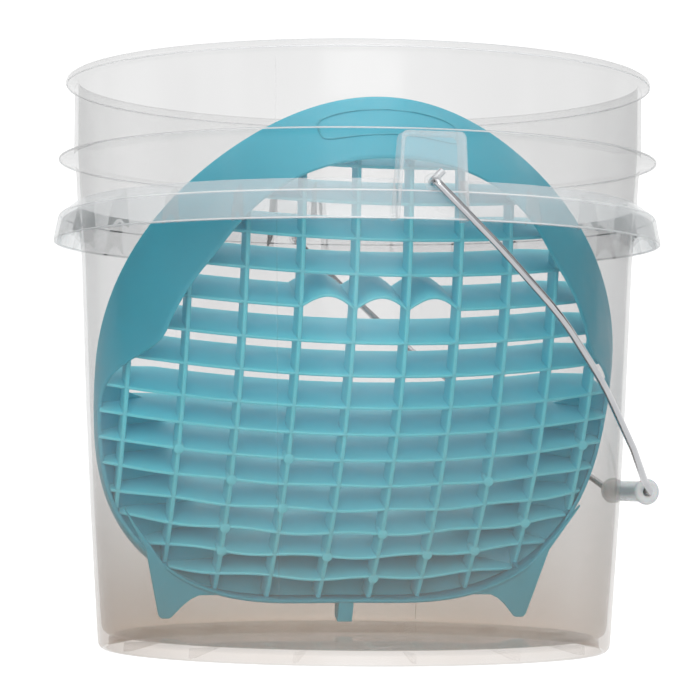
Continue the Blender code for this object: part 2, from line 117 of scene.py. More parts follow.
# ------------------------------------------------------------------ materials

# The colour mode of a Mix node has its two colours and its result at these places.
MIX_FIRST = 6
MIX_SECOND = 7
MIX_RESULT = 2


def node(tree, kind, **values):
    """A new shader node with some of its settings."""
    made = tree.nodes.new(kind)
    for key, value in values.items():
        setattr(made, key, value)
    return made


def noise(tree, scale, detail=4.0, stretch=None):
    """A noise pattern that stays with the object."""
    where = node(tree, "ShaderNodeTexCoord")
    made = node(tree, "ShaderNodeTexNoise")
    made.inputs["Scale"].default_value = scale
    made.inputs["Detail"].default_value = detail
    source = where.outputs["Object"]
    if stretch:
        mapping = node(tree, "ShaderNodeMapping")
        mapping.inputs["Scale"].default_value = stretch
        tree.links.new(source, mapping.inputs["Vector"])
        source = mapping.outputs["Vector"]
    tree.links.new(source, made.inputs["Vector"])
    return made.outputs["Fac"]


def ramp(tree, source, low, high, start=0.3, end=0.7):
    """A value that goes from low to high while the source goes from start to end."""
    made = node(tree, "ShaderNodeMapRange")
    made.inputs["From Min"].default_value = start
    made.inputs["From Max"].default_value = end
    made.inputs["To Min"].default_value = low
    made.inputs["To Max"].default_value = high
    tree.links.new(source, made.inputs["Value"])
    return made.outputs["Result"]


def mixed(tree, factor, first, second):
    """A colour between two colours."""
    made = node(tree, "ShaderNodeMix", data_type="RGBA")
    made.inputs[MIX_FIRST].default_value = (*first, 1.0)
    made.inputs[MIX_SECOND].default_value = (*second, 1.0)
    tree.links.new(factor, made.inputs["Factor"])
    return made.outputs[MIX_RESULT]


def bumped(tree, shader, height, strength, distance):
    """Small relief on the surface."""
    made = node(tree, "ShaderNodeBump")
    made.inputs["Strength"].default_value = strength
    made.inputs["Distance"].default_value = distance
    tree.links.new(height, made.inputs["Height"])
    tree.links.new(made.outputs["Normal"], shader.inputs["Normal"])


def new_material(name):
    """A material with its node tree and its shader."""
    material = bpy.data.materials.new(name)
    material.use_nodes = True
    tree = material.node_tree
    return material, tree, tree.nodes["Principled BSDF"]


def axis_share(tree, axis, start, end, low, high):
    """A value that goes from low to high between two places along an axis of the object."""
    where = node(tree, "ShaderNodeTexCoord")
    split = node(tree, "ShaderNodeSeparateXYZ")
    tree.links.new(where.outputs["Object"], split.inputs[0])
    return ramp(tree, split.outputs[axis], low, high, start, end)


# Where the natural plastic changes, in metres along the object's own axes.
# Below the first height here the colour turns to painted warm light from the surroundings.
WARM_LIGHT_TOP = 0.13
FOOT_HAZE_TOP = 0.11
HAZE_FRONT = -0.10
HAZE_BACK = 0.10
# How sharply the haze rises where a wall is seen along its length.
EDGE_POWER = 4.0


def natural_plastic(name, haze, edge, tint, warm_light_tint):
    """Milky see-through plastic: hazier where the wall is seen along its length, and warmer low down, where
    painted warm light from the surroundings is mixed in.
    """
    material, tree, shader = new_material(name)
    darker = tuple(c * 0.94 for c in tint)
    low = axis_share(tree, "Z", 0.0, WARM_LIGHT_TOP, 1.0, 0.0)
    mix = node(tree, "ShaderNodeMix", data_type="RGBA")
    tree.links.new(low, mix.inputs["Factor"])
    tree.links.new(mixed(tree, noise(tree, 14.0), tint, darker), mix.inputs[MIX_FIRST])
    mix.inputs[MIX_SECOND].default_value = (*warm_light_tint, 1.0)
    tree.links.new(mix.outputs[MIX_RESULT], shader.inputs["Base Color"])
    tree.links.new(ramp(tree, noise(tree, 60.0), 0.10, 0.20), shader.inputs["Roughness"])
    shader.inputs["IOR"].default_value = 1.5
    shader.inputs["Specular IOR Level"].default_value = 0.5
    grazing = node(tree, "ShaderNodeLayerWeight")
    grazing.inputs["Blend"].default_value = 0.5
    power = node(tree, "ShaderNodeMath", operation="POWER")
    power.inputs[1].default_value = EDGE_POWER
    tree.links.new(grazing.outputs["Facing"], power.inputs[0])
    cloud = node(tree, "ShaderNodeMath", operation="MULTIPLY")
    patches = noise(tree, 9.0, stretch=(1.0, 1.0, 0.4))
    tree.links.new(ramp(tree, patches, haze * 0.85, haze * 1.15), cloud.inputs[0])
    tree.links.new(axis_share(tree, "Y", HAZE_FRONT, HAZE_BACK, 1.35, 0.55), cloud.inputs[1])
    foot = node(tree, "ShaderNodeMath", operation="MULTIPLY_ADD")
    tree.links.new(axis_share(tree, "Z", 0.0, FOOT_HAZE_TOP, 1.0, 0.0), foot.inputs[0])
    tree.links.new(axis_share(tree, "Y", HAZE_FRONT, HAZE_BACK, 0.0, 0.40), foot.inputs[1])
    tree.links.new(cloud.outputs[0], foot.inputs[2])
    veil = node(tree, "ShaderNodeMath", operation="MULTIPLY_ADD")
    veil.inputs[1].default_value = edge
    tree.links.new(power.outputs[0], veil.inputs[0])
    tree.links.new(foot.outputs[0], veil.inputs[2])
    tree.links.new(veil.outputs[0], shader.inputs["Alpha"])
    bumped(tree, shader, noise(tree, 45.0, 3.0, stretch=(1.0, 1.0, 0.35)), 0.05, 0.0006)
    return material


def teal_plastic(name, first, second):
    """Satin moulded plastic that lets a little light in."""
    material, tree, shader = new_material(name)
    tree.links.new(mixed(tree, noise(tree, 22.0), first, second), shader.inputs["Base Color"])
    tree.links.new(ramp(tree, noise(tree, 80.0), 0.38, 0.55), shader.inputs["Roughness"])
    shader.inputs["Subsurface Weight"].default_value = 0.35
    shader.inputs["Subsurface Radius"].default_value = (0.3, 1.0, 1.0)
    shader.inputs["Subsurface Scale"].default_value = 0.006
    bumped(tree, shader, noise(tree, 600.0, 3.0), 0.12, 0.0003)
    return material


def bright_wire():
    """Drawn steel wire."""
    material, tree, shader = new_material("bright_wire")
    colour = mixed(tree, noise(tree, 40.0), (0.38, 0.39, 0.41), (0.52, 0.52, 0.53))
    tree.links.new(colour, shader.inputs["Base Color"])
    tree.links.new(ramp(tree, noise(tree, 90.0), 0.10, 0.24), shader.inputs["Roughness"])
    shader.inputs["Metallic"].default_value = 1.0
    bumped(tree, shader, noise(tree, 900.0, 2.0), 0.05, 0.0002)
    return material


def floor_gloss_painted_reflection():
    """Glossy wet-looking plastic that mirrors what stands on it, with a dark blue-teal colour that is a
    painted reflection of the teal insert.
    """
    material, tree, shader = new_material("floor_gloss_painted_reflection")
    # The dark blue-teal base colour is a painted reflection of the teal insert, on top of the real gloss.
    colour = mixed(tree, noise(tree, 18.0), (0.13, 0.25, 0.32), (0.28, 0.38, 0.44))
    tree.links.new(colour, shader.inputs["Base Color"])
    tree.links.new(ramp(tree, noise(tree, 30.0), 0.04, 0.14), shader.inputs["Roughness"])
    tree.links.new(ramp(tree, noise(tree, 12.0), 0.24, 0.36), shader.inputs["Alpha"])
    shader.inputs["Specular IOR Level"].default_value = 1.0
    bumped(tree, shader, noise(tree, 25.0, 2.0), 0.06, 0.0010)
    return material


def white_plastic():
    """Slightly see-through white plastic."""
    material, tree, shader = new_material("milky_white")
    colour = mixed(tree, noise(tree, 60.0), (0.60, 0.64, 0.65), (0.68, 0.70, 0.70))
    tree.links.new(colour, shader.inputs["Base Color"])
    tree.links.new(ramp(tree, noise(tree, 120.0), 0.25, 0.40), shader.inputs["Roughness"])
    shader.inputs["Alpha"].default_value = 0.72
    shader.inputs["Subsurface Weight"].default_value = 0.3
    shader.inputs["Subsurface Scale"].default_value = 0.004
    bumped(tree, shader, noise(tree, 400.0, 3.0), 0.08, 0.0002)
    return material


# ------------------------------------------------------------------ bucket

BUCKET_STEPS = 192
COLLAR_STEPS = 88
COLLAR_EAR_GAP = math.radians(6.3)
WEBS_PER_QUARTER = 5
FIRST_WEB_DEG = 20.8
WEB_STEP_DEG = 14.3
WEB_HALF = 0.55
EAR_FACE = 157.0
EAR_WALL = 1.8
EAR_TOP = 248.6
EAR_CORNER = 2.4
EAR_TOP_HALF = 15.0
EAR_BOTTOM_HALF = 17.5
SKIRT_BOTTOM = 207.3
BAIL_Z = 225.0
HOLE_RADIUS = 2.6
BOSS_STEPS = 32
FLOOR_RIBS = 14
RIB_HALF = 1.0
BEAD_RADIUS = 0.4
BEAD_SIDES = 8
PARTING_DEGREES = (-118.4, 61.6)

# Profiles are (radius, height) points.
FLOOR_TOP = [(0.0, 6.9), (60.0, 6.9), (123.5, 6.9), (126.6, 7.5), (128.6, 9.0), (129.6, 11.5)]
WALL_INSIDE = [(131.2, 32.0), (134.0, 72.0), (136.8, 124.0), (140.0, 199.0), (142.5, 227.0), (144.3, 252.0)]
LIP = [
    (144.6, 289.6), (145.0, 291.0), (146.2, 291.8), (147.6, 292.0), (149.3, 291.8), (150.5, 291.0),
    (151.0, 289.8), (150.9, 288.5), (150.0, 287.7), (147.6, 287.2), (146.7, 286.4), (146.5, 284.0),
]
RING = [
    (146.4, 252.0), (146.8, 251.2), (153.8, 250.4), (154.2, 250.1), (154.3, 249.6), (154.1, 249.2),
    (153.6, 249.0), (146.8, 248.0), (146.0, 247.2),
]
WALL_OUTSIDE = [
    (145.4, 245.0), (144.4, 227.4), (141.9, 199.0), (138.7, 124.0), (135.9, 72.0), (132.8, 25.0),
    (132.0, 12.0),
]
FOOT = [
    (131.5, 5.0), (131.1, 2.2), (130.2, 0.8), (129.0, 0.0), (127.2, 0.0), (126.2, 0.6), (125.5, 4.2),
    (124.6, 4.8),
]
FLOOR_BELOW = [(60.0, 4.8), (0.0, 4.8)]
SHELL = FLOOR_TOP + WALL_INSIDE + LIP + RING + WALL_OUTSIDE + FOOT + FLOOR_BELOW
COLLAR = [
    (144.8, 227.3), (145.4, 227.0), (152.6, 221.8), (153.7, 220.8), (154.3, 219.6), (156.4, 208.2),
    (156.4, 207.6), (156.0, 207.3), (155.2, 207.3), (154.7, 207.7), (152.7, 218.0), (152.2, 218.9),
    (150.6, 220.0), (144.5, 223.4),
]

# The boss behind an ear's hole, as (radius, depth behind the ear's wall) points.
BOSS = ((2.7, 0.0), (2.7, 1.8), (3.9, 1.6), (4.3, 0.0))


def web_angles():
    """Directions of the webs: one halfway between the ears on each side, and five each way from an ear."""
    angles = [0.0, 180.0]
    for ear in (-90.0, 90.0):
        for index in range(WEBS_PER_QUARTER):
            offset = FIRST_WEB_DEG + index * WEB_STEP_DEG
            angles.extend((ear - offset, ear + offset))
    return angles


def bucket_shell():
    """Floor, wall, lip, thin ring and foot in one turned solid."""
    shape = Shape()
    shape.lathe(SHELL, BUCKET_STEPS)
    return shape.build("bucket_shell", 40.0)


def collar_skirt():
    """The stacking collar, in two arcs that end beside the ears."""
    shape = Shape()
    for middle in (0.0, math.pi):
        low = middle - math.pi / 2.0 + COLLAR_EAR_GAP
        high = middle + math.pi / 2.0 - COLLAR_EAR_GAP
        shape.lathe(COLLAR, COLLAR_STEPS, low, high)
    return shape.build("collar_skirt", 40.0)


def turned(turn, outline, side):
    """A (radius, height) outline set beside a radial plane."""
    return [tuple(turn @ Vector((radius, side, height))) for radius, height in outline]


def bucket_webs():
    """Thin plates under the collar with a hollow lower edge and a small foot."""
    outline = [(143.0, 208.0), (144.3, 222.6), (145.2, 225.4), (152.6, 220.2)]
    outline += [(155.4, 208.4), (155.3, 206.9), (154.2, 206.8)]
    for step in range(7):
        share = step / 6.0
        radius = 153.4 - 9.6 * share
        outline.append((radius, 208.0 + 4.2 * math.sin(math.pi * share)))
    shape = Shape()
    for angle in web_angles():
        turn = Matrix.Rotation(math.radians(angle), 3, "Z")
        shape.loft([turned(turn, outline, side) for side in (-WEB_HALF, WEB_HALF)])
    item = shape.build("bucket_webs", 30.0)
    bevel(item, 0.3, 1)
    return item


def ear_outline(inset):
    """The ear from the front, as (x, z) points: open below, with two rounded corners above."""
    corner = EAR_CORNER
    top = EAR_TOP - inset
    half_top = EAR_TOP_HALF - inset
    half_bottom = EAR_BOTTOM_HALF - inset
    points = [(-half_bottom, SKIRT_BOTTOM), (-half_top - 0.14 * corner, top - corner)]
    for step in range(1, 6):
        angle = math.pi - math.pi / 2.0 * step / 5.0
        x = -half_top + corner + corner * math.cos(angle)
        points.append((x, top - corner + corner * math.sin(angle)))
    return points + [(-x, z) for x, z in reversed(points)]


def bucket_ears():
    """Open-backed boxes that carry the bail: a pierced face and a wall round three sides."""
    shape = Shape()
    outer = ear_outline(0.0)
    inner = ear_outline(EAR_WALL)
    inside = EAR_FACE - EAR_WALL
    centre = Vector((0.0, 0.0, BAIL_Z))
    hole = []
    for x, z in outer:
        angle = math.atan2(z - BAIL_Z, x)
        hole.append((HOLE_RADIUS * math.cos(angle), BAIL_Z + HOLE_RADIUS * math.sin(angle)))
    for side in (-1.0, 1.0):
        front = [(x, side * EAR_FACE, z) for x, z in outer]
        back = [(x, side * inside, z) for x, z in outer]
        hole_front = [(x, side * EAR_FACE, z) for x, z in hole]
        hole_back = [(x, side * inside, z) for x, z in hole]
        shape.loft([front, back, hole_back, hole_front], closed=True)
        strip = []
        for (x, z), (u, w) in zip(outer, inner):
            root = side * (143.1 + 0.0845 * (z - SKIRT_BOTTOM))
            near = side * (inside + 0.05)
            strip.append([(x, root, z), (x, near, z), (u, near, w), (u, root, w)])
        shape.loft(strip)
        boss = []
        for index in range(BOSS_STEPS):
            angle = TAU * index / BOSS_STEPS
            way = Vector((math.cos(angle), 0.0, math.sin(angle)))
            section = [(radius, side * (inside - depth)) for radius, depth in BOSS]
            boss.append([tuple(centre + way * radius + Vector((0.0, y, 0.0))) for radius, y in section])
        shape.loft(boss, closed=True)
    item = shape.build("bucket_ears", 30.0)
    bevel(item, 0.5, 2)
    return item


def bucket_floor_ribs():
    """Short ribs below the floor, inside the foot."""
    shape = Shape()
    outline = ((104.0, 5.6), (126.2, 5.6), (126.4, 0.9), (122.0, 1.3))
    for index in range(FLOOR_RIBS):
        turn = Matrix.Rotation(TAU * (index + 0.5) / FLOOR_RIBS, 3, "Z")
        shape.loft([turned(turn, outline, side) for side in (-RIB_HALF, RIB_HALF)])
    item = shape.build("bucket_floor_ribs", 30.0)
    bevel(item, 0.3, 1)
    return item


def edge_beads(name, edges):
    """Thick rounded edges at (radius, height) places, which carry a whitish painted highlight."""
    shape = Shape()
    for radius, height in edges:
        turns = [TAU * step / BEAD_SIDES for step in range(BEAD_SIDES)]
        profile = [(radius + BEAD_RADIUS * math.cos(a), height + BEAD_RADIUS * math.sin(a)) for a in turns]
        rings = []
        for step in range(BUCKET_STEPS):
            way = TAU * step / BUCKET_STEPS
            rings.append([(out * math.cos(way), out * math.sin(way), up) for out, up in profile])
        shape.loft(rings, closed=True)
    return shape.build(name, 60.0)


def bucket_floor_face():
    """The glossy upper face of the floor."""
    shape = Shape()
    shape.lathe([(0.0, 6.93), (122.6, 6.93), (122.9, 7.0), (122.6, 7.07), (0.0, 7.07)], 96)
    return shape.build("bucket_floor_face", 30.0)


def bucket_parting_lines():
    """Raised hair lines left by the mould's halves."""
    shape = Shape()
    lower = [(131.6, 8.0), (132.8, 25.0), (135.9, 72.0), (138.7, 124.0), (141.9, 199.0), (142.7, 218.0)]
    upper = [(146.4, 252.5), (146.5, 284.0)]
    for degrees in PARTING_DEGREES:
        turn = Matrix.Rotation(math.radians(degrees), 3, "Z")
        for run in (lower, upper):
            rings = []
            for radius, height in run:
                root, top = radius - 0.3, radius + 0.06
                corners = ((root, -0.25), (top, -0.1), (top, 0.1), (root, 0.25))
                rings.append([tuple(turn @ Vector((out, side, height))) for out, side in corners])
            shape.loft(rings)
    return shape.build("bucket_parting_lines", 30.0)


# ------------------------------------------------------------------ bail and grip

BAIL_REST = math.radians(43.9)
WIRE_RADIUS = 1.8
WIRE_SIDES = 24
BEND_STEP = math.radians(7.0)
HOOK_V = 150.4
HOOK_END = 8.5
ARM_V = 160.3
GRIP_U = 207.0
GRIP_ENTRY_V = 34.0
SPOOL_STEPS = 64

# Corners of an arm in the bail's own plane: (away from the hinge, along it, bend radius).
ARM_BENDS = (
    (42.0, 159.9, 80.0),
    (88.0, 151.5, 60.0),
    (130.0, 121.0, 150.0),
    (176.0, 71.0, 50.0),
    (199.0, 40.5, 14.0),
)


def rounded_path(corners, bend_step):
    """Points along (corner, bend radius) pairs, with every inner corner rounded."""
    path = [corners[0][0]]
    for index in range(1, len(corners) - 1):
        before = corners[index - 1][0]
        point, radius = corners[index]
        after = corners[index + 1][0]
        back = (before - point).normalized()
        ahead = (after - point).normalized()
        turn = math.pi - back.angle(ahead)
        centre = point + (back + ahead).normalized() * (radius / math.cos(turn / 2.0))
        start = point + back * radius * math.tan(turn / 2.0) - centre
        end = point + ahead * radius * math.tan(turn / 2.0) - centre
        axis = start.cross(end).normalized()
        steps = max(3, math.ceil(turn / bend_step))
        for step in range(steps + 1):
            path.append(centre + Matrix.Rotation(turn * step / steps, 3, axis) @ start)
    path.append(corners[-1][0])
    return path


def tube(shape, path, radius, sides):
    """Round tube along a path, with a slightly rounded end at each side."""
    rings = []
    normal = None
    last = len(path) - 1
    for index, point in enumerate(path):
        way = (path[min(index + 1, last)] - path[max(index - 1, 0)]).normalized()
        if normal is None:
            normal = way.orthogonal().normalized()
        normal = (normal - way * normal.dot(way)).normalized()
        other = way.cross(normal)

        def ring(at, size, normal=normal, other=other):
            turns = [TAU * step / sides for step in range(sides)]
            return [tuple(at + (normal * math.cos(a) + other * math.sin(a)) * size) for a in turns]

        if index == 0:
            rings.append(ring(point, radius * 0.72))
            rings.append(ring(point + way * 0.25, radius))
        elif index == last:
            rings.append(ring(point - way * 0.25, radius))
            rings.append(ring(point, radius * 0.72))
        else:
            rings.append(ring(point, radius))
    shape.loft(rings)


def bail_place(item):
    """Move a piece drawn in the bail's own frame to where the bail rests."""
    item.data.transform(Matrix.Translation((0.0, 0.0, BAIL_Z * MM)) @ Matrix.Rotation(BAIL_REST, 4, "Y"))


def bail():
    """The wire, from a hook behind one ear round the grip to the other ear."""
    half = [(Vector((0.0, HOOK_V, HOOK_END)), 0.0), (Vector((0.0, HOOK_V, 0.0)), 2.5)]
    half.append((Vector((0.0, ARM_V, 0.0)), 2.6))
    half += [(Vector((u, v, 0.0)), radius) for u, v, radius in ARM_BENDS]
    half.append((Vector((GRIP_U, GRIP_ENTRY_V, 0.0)), 4.5))
    other = [(Vector((point.x, -point.y, point.z)), radius) for point, radius in reversed(half)]
    shape = Shape()
    tube(shape, rounded_path(half + other, BEND_STEP), WIRE_RADIUS, WIRE_SIDES)
    item = shape.build("bail_rod", 50.0)
    bail_place(item)
    return item


def grip():
    """The flanged spool on the wire."""
    half = [(2.25, 28.2), (2.6, 28.8), (3.3, 29.0), (4.6, 28.8), (5.8, 28.3), (6.5, 27.7), (6.8, 27.0)]
    half += [(6.7, 26.5), (6.2, 26.3), (5.6, 26.0), (5.45, 25.4), (5.35, 12.0)]
    profile = half + [(radius, -height) for radius, height in reversed(half)]
    shape = Shape()
    shape.lathe(profile, SPOOL_STEPS, place=lambda p: (p[0] + GRIP_U, p[2], p[1]))
    item = shape.build("grip_spool", 40.0)
    bail_place(item)
    return item


# ------------------------------------------------------------------ drain insert

INSERT_TILT = math.radians(21.0)
INSERT_ORIGIN = Vector((0.0, -6.5, 141.7))
RIM_RADIUS = 136.4
MOUTH_RADIUS = 125.0
MOUTH_W = 37.6
SIDE_W = 5.0
SIDE_PINCH = 11.0
FOOT_W = 21.0
BACK_LIP = 17.0
BACK_LIP_IN = 38.0
SKIN = 2.0
GRID_DEPTH = 38.0
GRID_BACK_W = -18.0
BACK_TAPER = 0.985
BAR_PITCH = 27.0
BAR_DEPTH = 12.0
BARS_PER_SIDE = 5
BAR_THICKNESS = 2.5
MIDDLE_SLAT_Z = -5.5
UPPER_PITCH = 17.0
UPPER_SLATS = 8
LOWER_PITCH = 14.5
LOWER_SLATS = 7
WAVY_SLAT = 3
WAVE_HEIGHT = 6.5
SLAT_THICKNESS = 1.9
DOME_HEIGHT = 40.0
DOME_CURVE = 0.0018
RIM_TOP_RISE = 9.0
RIM_CORNER = 15.0
RIM_BOTTOM_CUT = 10.0
LIP_START = 0.4
REACH_LIMIT = 160.0
OUTLINE_STEPS = 192
SLAT_STEPS = 60
BAR_STEPS = 48
FLAP_STEPS = 96
FLAP_HALF_WIDTH = 36.0
FLAP_W = 16.0
FLAP_HALF_DEPTH = 8.0
KNOT_STEPS = 20


def ease(value, start, end):
    """A smooth step from 0 to 1."""
    share = max(0.0, min(1.0, (value - start) / (end - start)))
    return share * share * (3.0 - 2.0 * share)


def skin_depth(angle):
    """Depth of the skin: a deep hood above, shallow sides, deeper again at the legs."""
    rise = math.sin(angle)
    hood = (MOUTH_W - SIDE_W) * ease(rise, -0.15, 0.3)
    return SIDE_W + hood + (FOOT_W - SIDE_W) * ease(-rise, 0.5, 0.75)


def outline_radius(angle, w):
    """Outline of the insert seen along its depth, at a depth w in front of its face."""
    part = max(0.0, min(1.0, w / MOUTH_W))
    rise = math.sin(angle)
    pinch = SIDE_PINCH * ease(rise, -0.1, 0.25) * (1.0 - ease(rise, 0.6, 1.0))
    radius = RIM_RADIUS + (MOUTH_RADIUS - pinch - RIM_RADIUS) * part
    radius += RIM_TOP_RISE * (1.0 - part) * max(0.0, rise) ** 8
    if rise < 0.0:
        radius += RIM_CORNER * math.sin(2.0 * angle) ** 2 - RIM_BOTTOM_CUT * rise * rise
    return radius


def dome_w(x, z):
    """Depth of the slats' front edges, which lie on a dome."""
    return DOME_HEIGHT - DOME_CURVE * (x * x + z * z)


def back_w(x, z):
    """Depth of the slats' back edges."""
    return max(dome_w(x, z) - GRID_DEPTH, GRID_BACK_W)


def reach(start, way, depth):
    """Distance from a place on the face to the inside of the skin, along a way in the face."""
    low, high = 0.0, REACH_LIMIT
    for _ in range(20):
        middle = (low + high) / 2.0
        x = start[0] + way[0] * middle
        z = start[1] + way[1] * middle
        angle = math.atan2(z, x)
        w = depth(x, z)
        edge = 0.1 if w > skin_depth(angle) else SKIN + 0.1
        inside = math.hypot(x, z) < outline_radius(angle, w) - edge
        low, high = (middle, high) if inside else (low, middle)
    return low


def insert_place(item):
    """Move a piece drawn upright to where the insert stands, tilted."""
    item.data.transform(Matrix.Translation(INSERT_ORIGIN * MM) @ Matrix.Rotation(INSERT_TILT, 4, "X"))


def plate(shape, across, places, thick):
    """Thin plate with a rounded front edge, through (back, front) pairs of points."""
    rings = []
    half = Vector(across) * thick / 2.0
    for back, front in places:
        out = (front - back).normalized()
        ring = [back - half, back + half, front + half - out * 0.9, front + half * 0.7 - out * 0.25]
        ring += [front, front - half * 0.7 - out * 0.25, front - half - out * 0.9]
        rings.append([tuple(point) for point in ring])
    shape.loft(rings)


def slat_heights():
    """Places of the slats: from the middle up, then from the middle down."""
    upper = [MIDDLE_SLAT_Z + UPPER_PITCH * index for index in range(UPPER_SLATS)]
    return upper + [MIDDLE_SLAT_Z - LOWER_PITCH * (index + 1) for index in range(LOWER_SLATS)]


def slat_run(shape, height, low, high, wave):
    """One slat from low to high across the face, or to the skin where an end is None."""
    start = (0.0, height)
    left = -reach(start, (-1.0, 0.0), dome_w) if low is None else low
    right = reach(start, (1.0, 0.0), dome_w) if high is None else high
    places = []
    for step in range(SLAT_STEPS + 1):
        x = left + (right - left) * step / SLAT_STEPS
        z = height
        if wave:
            z += WAVE_HEIGHT * abs(math.sin(math.pi * (x / BAR_PITCH + 1.5)))
        elif height < 0.0:
            z += 0.9 * math.sin(x * 0.11 + height * 0.7) * ease(-height, 20.0, 90.0)
        back = Vector((x * BACK_TAPER, -back_w(x, height), z))
        places.append((back, Vector((x, -dome_w(x, height), z))))
    plate(shape, (0.0, 0.0, 1.0), places, SLAT_THICKNESS)


def insert_slats():
    """All slats; one of them waves up between the middle bars."""
    shape = Shape()
    edge = BAR_PITCH * 1.5
    for index, height in enumerate(slat_heights()):
        if index == WAVY_SLAT:
            slat_run(shape, height, None, -edge, False)
            slat_run(shape, height, -edge, edge, True)
            slat_run(shape, height, edge, None, False)
        else:
            slat_run(shape, height, None, None, False)
    item = shape.build("insert_slats", 40.0)
    insert_place(item)
    return item


def insert_bars():
    """Shallow upright bars that follow the dome."""
    shape = Shape()
    for side in (-1.0, 1.0):
        for index in range(BARS_PER_SIDE):
            x = side * BAR_PITCH * (index + 0.5)
            low = -reach((x, 0.0), (0.0, -1.0), dome_w)
            high = reach((x, 0.0), (0.0, 1.0), dome_w)
            places = []
            for step in range(BAR_STEPS + 1):
                z = low + (high - low) * step / BAR_STEPS
                front = Vector((x, -dome_w(x, z), z))
                places.append((front + Vector((0.0, BAR_DEPTH, 0.0)), front))
            plate(shape, (1.0, 0.0, 0.0), places, BAR_THICKNESS)
    item = shape.build("insert_bars", 40.0)
    insert_place(item)
    return item


# (column, row) of each boss, counted from the middle bars and the middle slat.
KNOTS = (
    (-4, 2), (-3, 3), (-3, 5), (-3, 6), (-2, 2), (-2, 4), (-1, 6),
    (0, 5), (0, 7), (1, 6), (2, 3), (2, 6), (3, 5), (4, 2),
)


def insert_knots():
    """Small round bosses where some bars cross the lower slats."""
    shape = Shape()
    for column, row in KNOTS:
        x = BAR_PITCH * (column + 0.5)
        z = MIDDLE_SLAT_Z - LOWER_PITCH * row
        w = dome_w(x, z)
        rings = []
        for radius, lift in ((2.8, -6.0), (2.8, 0.1), (2.5, 0.5), (1.5, 0.7)):
            circle = [TAU * step / KNOT_STEPS for step in range(KNOT_STEPS)]
            y = -(w + lift)
            rings.append([(x + radius * math.cos(a), y, z + radius * math.sin(a)) for a in circle])
        shape.loft(rings)
    item = shape.build("insert_knots", 40.0)
    insert_place(item)
    return item


def insert_skin():
    """The skin: a hood above, a rim at the sides, and a lip turned in behind the lower slats."""
    shape = Shape()
    inner = [(0.0, SKIN), (0.3, SKIN), (0.96, SKIN), (1.0, 1.5)]
    front = inner + [(1.0, 0.5), (0.96, 0.0), (0.3, 0.0), (0.0, 0.0)]
    back = [(0.4, 0.0), (1.0, 0.0), (1.0, SKIN), (0.4, SKIN)]
    rings = []
    for share, inset in front:
        ring = []
        for step in range(OUTLINE_STEPS):
            angle = TAU * step / OUTLINE_STEPS
            w = share * skin_depth(angle)
            radius = outline_radius(angle, w) - inset
            ring.append((radius * math.cos(angle), -w, radius * math.sin(angle)))
        rings.append(ring)
    for share, inset in back:
        ring = []
        for step in range(OUTLINE_STEPS):
            angle = TAU * step / OUTLINE_STEPS
            low = ease(-math.sin(angle), -0.02, 0.30)
            w = -(LIP_START + BACK_LIP * low) * share
            radius = outline_radius(angle, 0.0) - inset - BACK_LIP_IN * low * share ** 1.5
            ring.append((radius * math.cos(angle), -w, radius * math.sin(angle)))
        rings.append(ring)
    shape.loft(rings, closed=True)
    item = shape.build("insert_skin", 50.0)
    insert_place(item)
    return item


def insert_flap_outline():
    """Faint raised outline on the hood, a rounded oblong."""
    points = []
    for step in range(FLAP_STEPS):
        turn = TAU * step / FLAP_STEPS
        across = FLAP_HALF_WIDTH * math.copysign(abs(math.cos(turn)) ** 0.35, math.cos(turn))
        w = FLAP_W + FLAP_HALF_DEPTH * math.copysign(abs(math.sin(turn)) ** 0.45, math.sin(turn))
        angle = math.pi / 2.0 + across / RIM_RADIUS
        radius = outline_radius(angle, w) + 0.1
        points.append(Vector((radius * math.cos(angle), -w, radius * math.sin(angle))))
    shape = Shape()
    rings = []
    for index, point in enumerate(points):
        way = (points[(index + 1) % FLAP_STEPS] - points[index - 1]).normalized()
        out = Vector((point.x, 0.0, point.z)).normalized()
        other = way.cross(out)
        turns = [TAU * step / 8 for step in range(8)]
        rings.append([tuple(point + out * 0.22 * math.cos(a) + other * 0.6 * math.sin(a)) for a in turns])
    shape.loft(rings, closed=True)
    item = shape.build("insert_flap_outline", 60.0)
    insert_place(item)
    return item


# One leg seen along the insert's depth, as (x, z) points; the leg plate lies between two depths.
LEG = (
    (-112.0, -60.0), (-107.0, -90.0), (-101.5, -115.0), (-98.6, -127.0), (-97.4, -128.7), (-96.0, -129.0),
    (-93.0, -129.0), (-91.6, -128.2), (-86.0, -121.5), (-82.0, -118.0), (-78.0, -116.0),
    (-62.0, -108.0), (-62.0, -66.0),
)
LEG_W = (17.0, 20.0)


def insert_legs():
    """Legs, their fins and the middle foot."""
    shape = Shape()
    for side in (-1.0, 1.0):
        outline = []
        for x, z in LEG:
            limit = outline_radius(math.atan2(z, -abs(x)), 18.0) - SKIN / 2.0
            away = math.hypot(x, z)
            pull = limit / away if away < limit else 1.0
            outline.append((-x * side * pull, z * pull))
        shape.loft([[(x, -w, z) for x, z in outline] for w in LEG_W])
    leg_x = BAR_PITCH * 3.5
    fin = ((18.0, -128.5), (18.0, -104.0), (2.0, -104.0), (14.0, -128.5))
    foot = ((20.5, -131.0), (20.5, -119.0), (10.0, -122.0), (13.0, -131.0))
    for x, half, outline in ((-leg_x, 1.3, fin), (leg_x, 1.3, fin), (0.0, 4.0, foot)):
        shape.loft([[(x + off, -w, z) for w, z in outline] for off in (-half, half)])
    item = shape.build("insert_legs", 30.0)
    bevel(item, 0.5, 2)
    insert_place(item)
    return item


# ------------------------------------------------------------------ assembly

def dress(item, material, body, slot, *nodes):
    """Give a piece its material and its body, and hide the nodes that it stands for; the slot is not used.
    """
    item.data.materials.append(material)
    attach(item, body)
    if nodes:
        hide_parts(*nodes)
